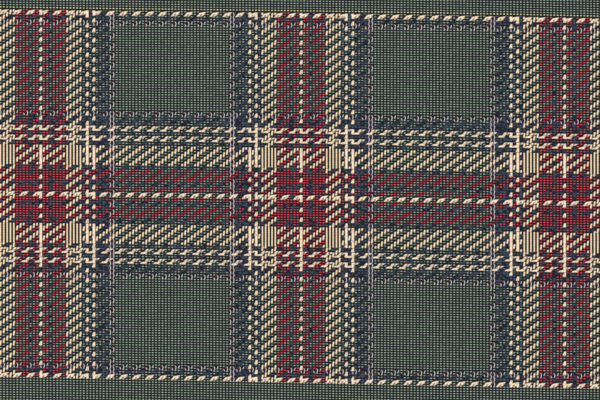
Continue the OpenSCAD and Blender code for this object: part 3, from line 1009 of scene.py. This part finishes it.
def label_material(half_w, half_h):
    """Blank woven label: fine ivory damask with a woven frame line in dark green."""
    material, tree, shader = new_material("woven label")
    u, v = cloth_uv(tree)
    inside = (half_w - abs(u)).atmost(half_h - abs(v))
    wide_line = abs(inside - 2.6 * MM) < 0.35 * MM
    frame_line = wide_line.atleast(abs(inside - 3.5 * MM) < 0.12 * MM)
    warp, weft = 0.22 * MM, 0.26 * MM
    ribs = (u * (2 * math.pi / warp)).cosine() * (v * (2 * math.pi / weft)).cosine() * 0.5 + 0.5
    # Painted shade and highlight: both the ivory and the green are darker between the ribs and lighter on their crests
    ivory = blend_colour(tree, ribs * 0.6 + noise(tree, 700.0) * 0.4,
                         srgb(196, 187, 164), srgb(232, 225, 205))
    green = blend_colour(tree, ribs, srgb(30, 52, 44), srgb(62, 92, 78))
    plug(tree, shader.inputs["Base Color"], blend_colour(tree, frame_line, ivory, green))
    plug(tree, shader.inputs["Roughness"], 0.62 - 0.12 * ribs)
    shader.inputs["Sheen Weight"].default_value = 0.1
    add_bump(tree, shader, ribs, 0.04 * MM)
    return material


def thread_material():
    """Two-ply silk sewing thread in dark green: slanting ply grooves, with painted shade in them and painted highlight
    on the crests, and a soft gloss.
    """
    material, tree, shader = new_material("silk thread")
    u, v = cloth_uv(tree)
    ply = (u / (0.55 * MM) + v).ripple(0.5)
    # Painted shade and highlight: the colour is darker in the ply grooves and lighter on their crests
    colour = blend_colour(tree, ply * 0.8 + noise(tree, 1500.0) * 0.2,
                          srgb(20, 36, 32), srgb(74, 104, 92))
    plug(tree, shader.inputs["Base Color"], colour)
    plug(tree, shader.inputs["Roughness"], 0.55 - 0.15 * ply)
    shader.inputs["Sheen Weight"].default_value = 0.15
    add_bump(tree, shader, ply, 0.05 * MM)
    return material


# ---------------------------------------------------------------- assembly

weave = weave_material()
satin = satin_material()
wool = wool_material()
thread = thread_material()


# Faces down are -1. A piece turns with a fold between the depths where its flats end, so that its
# bight lies hidden inside the flats once the fold is open.
FACE_UP = {"front": 1, "upper": -1, "neck": 1, "tail": -1}
JOINED = (("upper", "front"), ("neck", "upper"), ("tail", "neck"))


def blend_over(piece, fold, depth):
    """The piece bends in one fold. depth is under the face for folds with the face outside, and for
    the one with the face inside it is given on its own, as (outside, inside)."""
    lower, upper = JOINED[fold]
    under = depth[1] if fold == 1 else depth[0]
    start, end = (FACE_Z[k] - FACE_UP[k] * under for k in (lower, upper))
    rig.blend(piece, lower, upper, start=(0, 0, start), end=(0, 0, end))




def point_stops(half, hem, vent):
    """Distances from a point where the panel's outline or its flaps turn a corner."""
    nudge = 0.02 * MM
    low = hem * math.sqrt(2)
    return (half - nudge, half + nudge, low, low + half - hem + MM, vent, vent + VENT_CLOSE)


blade_stops = point_stops(BLADE_HALF, BLADE_HEM, BLADE_VENT)
tail_stops = tuple(S_END - k for k in point_stops(TAIL_HALF, TAIL_HEM, TAIL_VENT))

# Each panel is cut from its own place of the tartan
NECK_SHIFT, TAIL_SHIFT = (9.3 * MM, 21.7 * MM), (-6.1 * MM, 12.9 * MM)
HAIR = 0.006 * MM
front_panel, front_cut, front_area = panel(
    "front_panel_cloth", 0.0, S_FRONT_SEAM, 0, -1, (0, 0), blade_stops)
neck_panel, neck_cut, neck_area = panel(
    "neck_panel_cloth", S_FRONT_SEAM, S_TAIL_SEAM, -1, 1, NECK_SHIFT)
tail_panel, tail_cut, tail_area = panel(
    "tail_panel_cloth", S_TAIL_SEAM, S_END, 1, 0, TAIL_SHIFT, tail_stops)
for fold, piece in enumerate((front_panel, neck_panel, tail_panel)):
    finish_piece(piece, weave, "woven_silk")
    blend_over(piece, fold, (BACK - HAIR, HAIR))
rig.replaces(front_panel, "front_panel", "front_panel_fold", "front_panel_upper")
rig.replaces(neck_panel, "neck_panel_start", "neck_panel_fold", "neck_panel")
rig.replaces(tail_panel, "tail_panel_start", "tail_panel_fold", "tail_panel")

middle_upper = (S_UPPER + S_FOLD_B) / 2
middle_neck = (S_NECK + S_FOLD_C) / 2
cores = (("front_interlining_cloth", 1.5 * MM, middle_upper, 0,
          ("front_interlining", "interlining_fold_a")),
         ("neck_interlining_cloth", middle_upper, middle_neck, 1,
          ("upper_interlining", "interlining_fold_b", "neck_interlining")),
         ("tail_interlining_cloth", middle_neck, S_END - 1.5 * MM, 2,
          ("interlining_fold_c", "tail_interlining")))
for name, s0, s1, fold, nodes in cores:
    piece, cut, area = interlining(name, s0, s1)
    finish_piece(piece, wool, "wool_interlining")
    blend_over(piece, fold, (CLOTH_T + WOOL_T + CROWN, CLOTH_T + 0.04 * MM))
    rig.replaces(piece, *nodes)
    around = (front_panel, neck_panel, tail_panel)[fold]
    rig.sheet(piece, flat=cut, held="folded", rests_on=[around], area=area)

front_lining, front_lining_cut, front_lining_area = tipping("front_tipping_cloth", False)
tail_lining, tail_lining_cut, tail_lining_area = tipping("tail_tipping_cloth", True)
loop, loop_cut = keeper_loop("keeper_loop_band")
maker, maker_cut, maker_area = label("maker_label_cloth", "front", "maker_label")
care, care_cut, care_area = label("care_label_cloth", "tail", "care_label")
parts = ((front_lining, satin, "satin_tipping", "front", "front_tipping"),
         (tail_lining, satin, "satin_tipping", "tail", "tail_tipping"),
         (loop, weave, "woven_silk", "front", "keeper_loop"),
         (maker, label_material(*maker["half_size"]), "label_cloth", "front", "maker_label"),
         (care, label_material(*care["half_size"]), "label_cloth", "tail", "care_label"))
for piece, material, slot, body, node in parts:
    finish_piece(piece, material, slot)
    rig.ride(piece, body)
    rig.replaces(piece, node)


# Threads. Depths under the face: the lapped flap's surface, and how far the ends sink in the cloth
UNDER_LAP = BACK - DIP
SUNK, LIFT_OVER = 0.3 * MM, 0.2 * MM
SLIP_PITCH, SLIP_REACH, SLIP_SLANT = 9 * MM, 1.2 * MM, 3 * MM
TACK_PITCH, TACK_THREADS = 0.3 * MM, 6
SEAM_PITCH, SEAM_STITCH = 1.9 * MM, 1.3 * MM


def slip_lines(spans):
    """Slanting stitches over the outer flap's free edge, one every 9 mm."""
    lines = []
    for y0, y1 in spans:
        starts = [y0 + k * SLIP_PITCH for k in range(int((y1 - y0) / SLIP_PITCH))]
        lines += [(y, -LAP / 2 - SLIP_REACH, y + SLIP_SLANT, -LAP / 2 + SLIP_REACH,
                   UNDER_LAP - SUNK, BACK + LIFT_OVER, BACK - SUNK) for y in starts]
    return lines


def tack_lines(y, width):
    """Close parallel threads across the meeting of the flaps, bound by two short ones along."""
    uneven, over, sunk = 0.15 * MM, BACK + LIFT_OVER, BACK - SUNK
    lines = [(y + k * TACK_PITCH, -width / 2 + uneven * (k % 2),
              y + k * TACK_PITCH + 0.1 * MM, width / 2 - uneven * (k % 3),
              sunk, over, sunk) for k in range(TACK_THREADS)]
    lines += [(y - 0.1 * MM, x, y + 1.6 * MM, x + 0.2 * MM, sunk, BACK + 1.6 * LIFT_OVER, sunk)
              for x in (-width / 4, 0.0, width / 4)]
    return lines


def edge_lines(node, depth):
    """Running stitches along the two short ends of a label."""
    low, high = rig.box(node)
    h, middle = high[1] - low[1], (low[1] + high[1]) / 2
    lines = []
    for x in (low[0] + 1.5 * MM, high[0] - 1.5 * MM):
        lines += [(middle + k * h / 8 - h / 26, x, middle + k * h / 8 + h / 26, x,
                   depth - SUNK, depth + 0.1 * MM, depth - SUNK) for k in range(-3, 4)]
    return lines


def loop_lines():
    """Short slanting stitches through the two feet of the keeper loop."""
    middle = (loop_low[1] + loop_high[1]) / 2
    depth = LAYER_T + 0.9 * MM
    lines = []
    for side in (-1, 1):
        x = side * (LOOP_INSIDE + 2.6 * MM)
        lines += [(middle + k * 2 * MM - 0.6 * MM, x - 0.8 * MM,
                   middle + k * 2 * MM + 0.6 * MM, x + 0.8 * MM,
                   depth - SUNK, depth + 0.12 * MM, depth - SUNK) for k in range(-2, 3)]
    return lines


def seam_lines(y, half):
    """Short stitches one behind another in the crease of a bias seam, on the face."""
    count = int(2 * half / SEAM_PITCH)
    starts = -half + np.arange(count) * 2 * half / count
    sunk, over = 0.45 * MM, 0.22 * MM
    return [(y + x, x, y + x + SEAM_STITCH, x + SEAM_STITCH, sunk, over, sunk) for x in starts]


label_back = LAYER_T + LABEL_LIFT
maker_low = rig.box("maker_label")[0]
care_low, care_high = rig.box("care_label")
front_spans = [(BLADE_TIP_Y + BLADE_VENT + 8 * MM, maker_low[1]), (loop_high[1] + 6 * MM, FAR_Y)]
tail_spans = [(TAIL_TIP_Y + TAIL_VENT + 8 * MM, care_low[1]), (care_high[1], FAR_Y)]
whole_layer = [(NEAR_Y + 4 * MM, FAR_Y)]
blade_tack = tack_lines(BLADE_TIP_Y + BLADE_VENT + 1 * MM, 8 * MM)
tail_tack = tack_lines(TAIL_TIP_Y + TAIL_VENT + 1 * MM, 6 * MM)
maker_lines = edge_lines("maker_label", label_back)
care_lines = edge_lines("care_label", label_back)
front_seam = seam_lines(FRONT_SEAM_Y, NECK_HALF - 2 * MM)
tail_seam = seam_lines(TAIL_SEAM_Y, NECK_HALF - 2 * MM)
sewing = (
    ("front_slip_thread", "front", slip_lines(front_spans), "front_slip_stitch"),
    ("upper_slip_thread", "upper", slip_lines(whole_layer), "upper_slip_stitch"),
    ("neck_slip_thread", "neck", slip_lines(whole_layer), "neck_slip_stitch"),
    ("tail_slip_thread", "tail", slip_lines(tail_spans), "tail_slip_stitch"),
    ("front_bar_tack_thread", "front", blade_tack, "front_bar_tack"),
    ("tail_bar_tack_thread", "tail", tail_tack, "tail_bar_tack"),
    ("keeper_loop_thread", "front", loop_lines(), "keeper_loop_stitches"),
    ("maker_label_thread", "front", maker_lines, "maker_label_stitches"),
    ("care_label_thread", "tail", care_lines, "care_label_stitches"),
    ("front_seam_stitching", "upper", front_seam, "front_seam_thread"),
    ("tail_seam_stitching", "neck", tail_seam, "tail_seam_thread"),
)
for name, layer, lines, node in sewing:
    piece = stitches(name, layer, lines)
    finish_piece(piece, thread, "sewing_thread")
    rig.ride(piece, layer)
    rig.replaces(piece, node)

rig.sheet(front_panel, flat=front_cut, held="folded", rests_on=[neck_panel], area=front_area)
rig.sheet(neck_panel, flat=neck_cut, held="folded", rests_on=[tail_panel], area=neck_area)
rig.sheet(tail_panel, flat=tail_cut, held="folded", rests_on=[], area=tail_area)
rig.sheet(front_lining, flat=front_lining_cut, held="laid", rests_on=[front_panel],
         area=front_lining_area)
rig.sheet(tail_lining, flat=tail_lining_cut, held="laid", rests_on=[tail_panel],
         area=tail_lining_area)
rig.sheet(loop, flat=loop_cut, held="folded", rests_on=[front_panel])
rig.sheet(maker, flat=maker_cut, held="laid", rests_on=[front_panel], area=maker_area)
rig.sheet(care, flat=care_cut, held="laid", rests_on=[tail_panel], area=care_area)

# ---------------------------------------------------------------- floor, light and camera

FLOOR_Z = -8.5 * MM
FLOOR_REACH = 4.0
WORLD_LIGHT = 0.33


def add_floor():
    """A wide pale sheet a little under the tie, which leaves room for a fold that swings right over."""
    ends = np.array([-FLOOR_REACH, FLOOR_REACH])
    x, y = np.meshgrid(ends, ends)
    floor = add_grid("floor", np.stack([x, y, 0 * x], -1))
    material, tree, shader = new_material("pale floor")
    shader.inputs["Base Color"].default_value = srgb(214, 212, 208)
    shader.inputs["Roughness"].default_value = 0.8
    floor.data.materials.append(material)
    floor.location.z = FLOOR_Z
    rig.stage(floor)


def add_area_light(name, azimuth, elevation, distance, size, watts):
    """A soft square light aimed at the tie's middle from a direction given in degrees."""
    data = bpy.data.lights.new(name, "AREA")
    data.size, data.energy = size, watts
    light = bpy.data.objects.new(name, data)
    bpy.context.collection.objects.link(light)
    a, e = math.radians(azimuth), math.radians(elevation)
    away = np.array([math.cos(e) * math.cos(a), math.cos(e) * math.sin(a), math.sin(e)])
    light.matrix_world = facing(away * distance, away)


def facing(place, back, up=(0, 1, 0)):
    """Matrix of a lamp or camera at a place that looks against the vector back."""
    z = np.array(back, float) / np.linalg.norm(back)
    x = np.cross(up, z) if abs(z @ np.array(up)) < 0.99 else np.cross((1, 0, 0), z)
    x /= np.linalg.norm(x)
    y = np.cross(z, x)
    matrix = np.eye(4)
    matrix[:3, 0], matrix[:3, 1], matrix[:3, 2], matrix[:3, 3] = x, y, z, place
    return Matrix(matrix.tolist())


def add_camera():
    """Looks straight down at the blade, turned so that the weave's rows lie level in its view."""
    data = bpy.data.cameras.new("camera")
    data.lens, data.sensor_width = LENS_MM, SENSOR_MM
    data.clip_start, data.clip_end = 0.01, 20
    camera = bpy.data.objects.new("camera", data)
    bpy.context.collection.objects.link(camera)
    target = np.array([0, BLADE_TIP_Y + VIEW_AT_S, FACE_Z["front"]])
    distance = VIEW_WIDTH * LENS_MM / SENSOR_MM
    camera.matrix_world = facing(target + np.array([0, 0, distance]), (0, 0, 1),
                                 up=(math.sin(BIAS), math.cos(BIAS), 0))
    bpy.context.scene.camera = camera


add_floor()
add_area_light("key light", 120, 55, 1.6, 1.2, 20)
add_area_light("fill light", -30, 60, 1.8, 1.6, 13)
world = bpy.data.worlds.new("studio")
world.use_nodes = True
world.node_tree.nodes["Background"].inputs[0].default_value = (1, 1, 1, 1)
world.node_tree.nodes["Background"].inputs[1].default_value = WORLD_LIGHT
bpy.context.scene.world = world
bpy.context.scene.view_settings.view_transform = "Standard"
add_camera()

low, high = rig.bounds()
with open("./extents.json", "w") as out:
    json.dump({"cad": [list(cad_low), list(cad_high)], "visual": [list(low), list(high)]}, out)
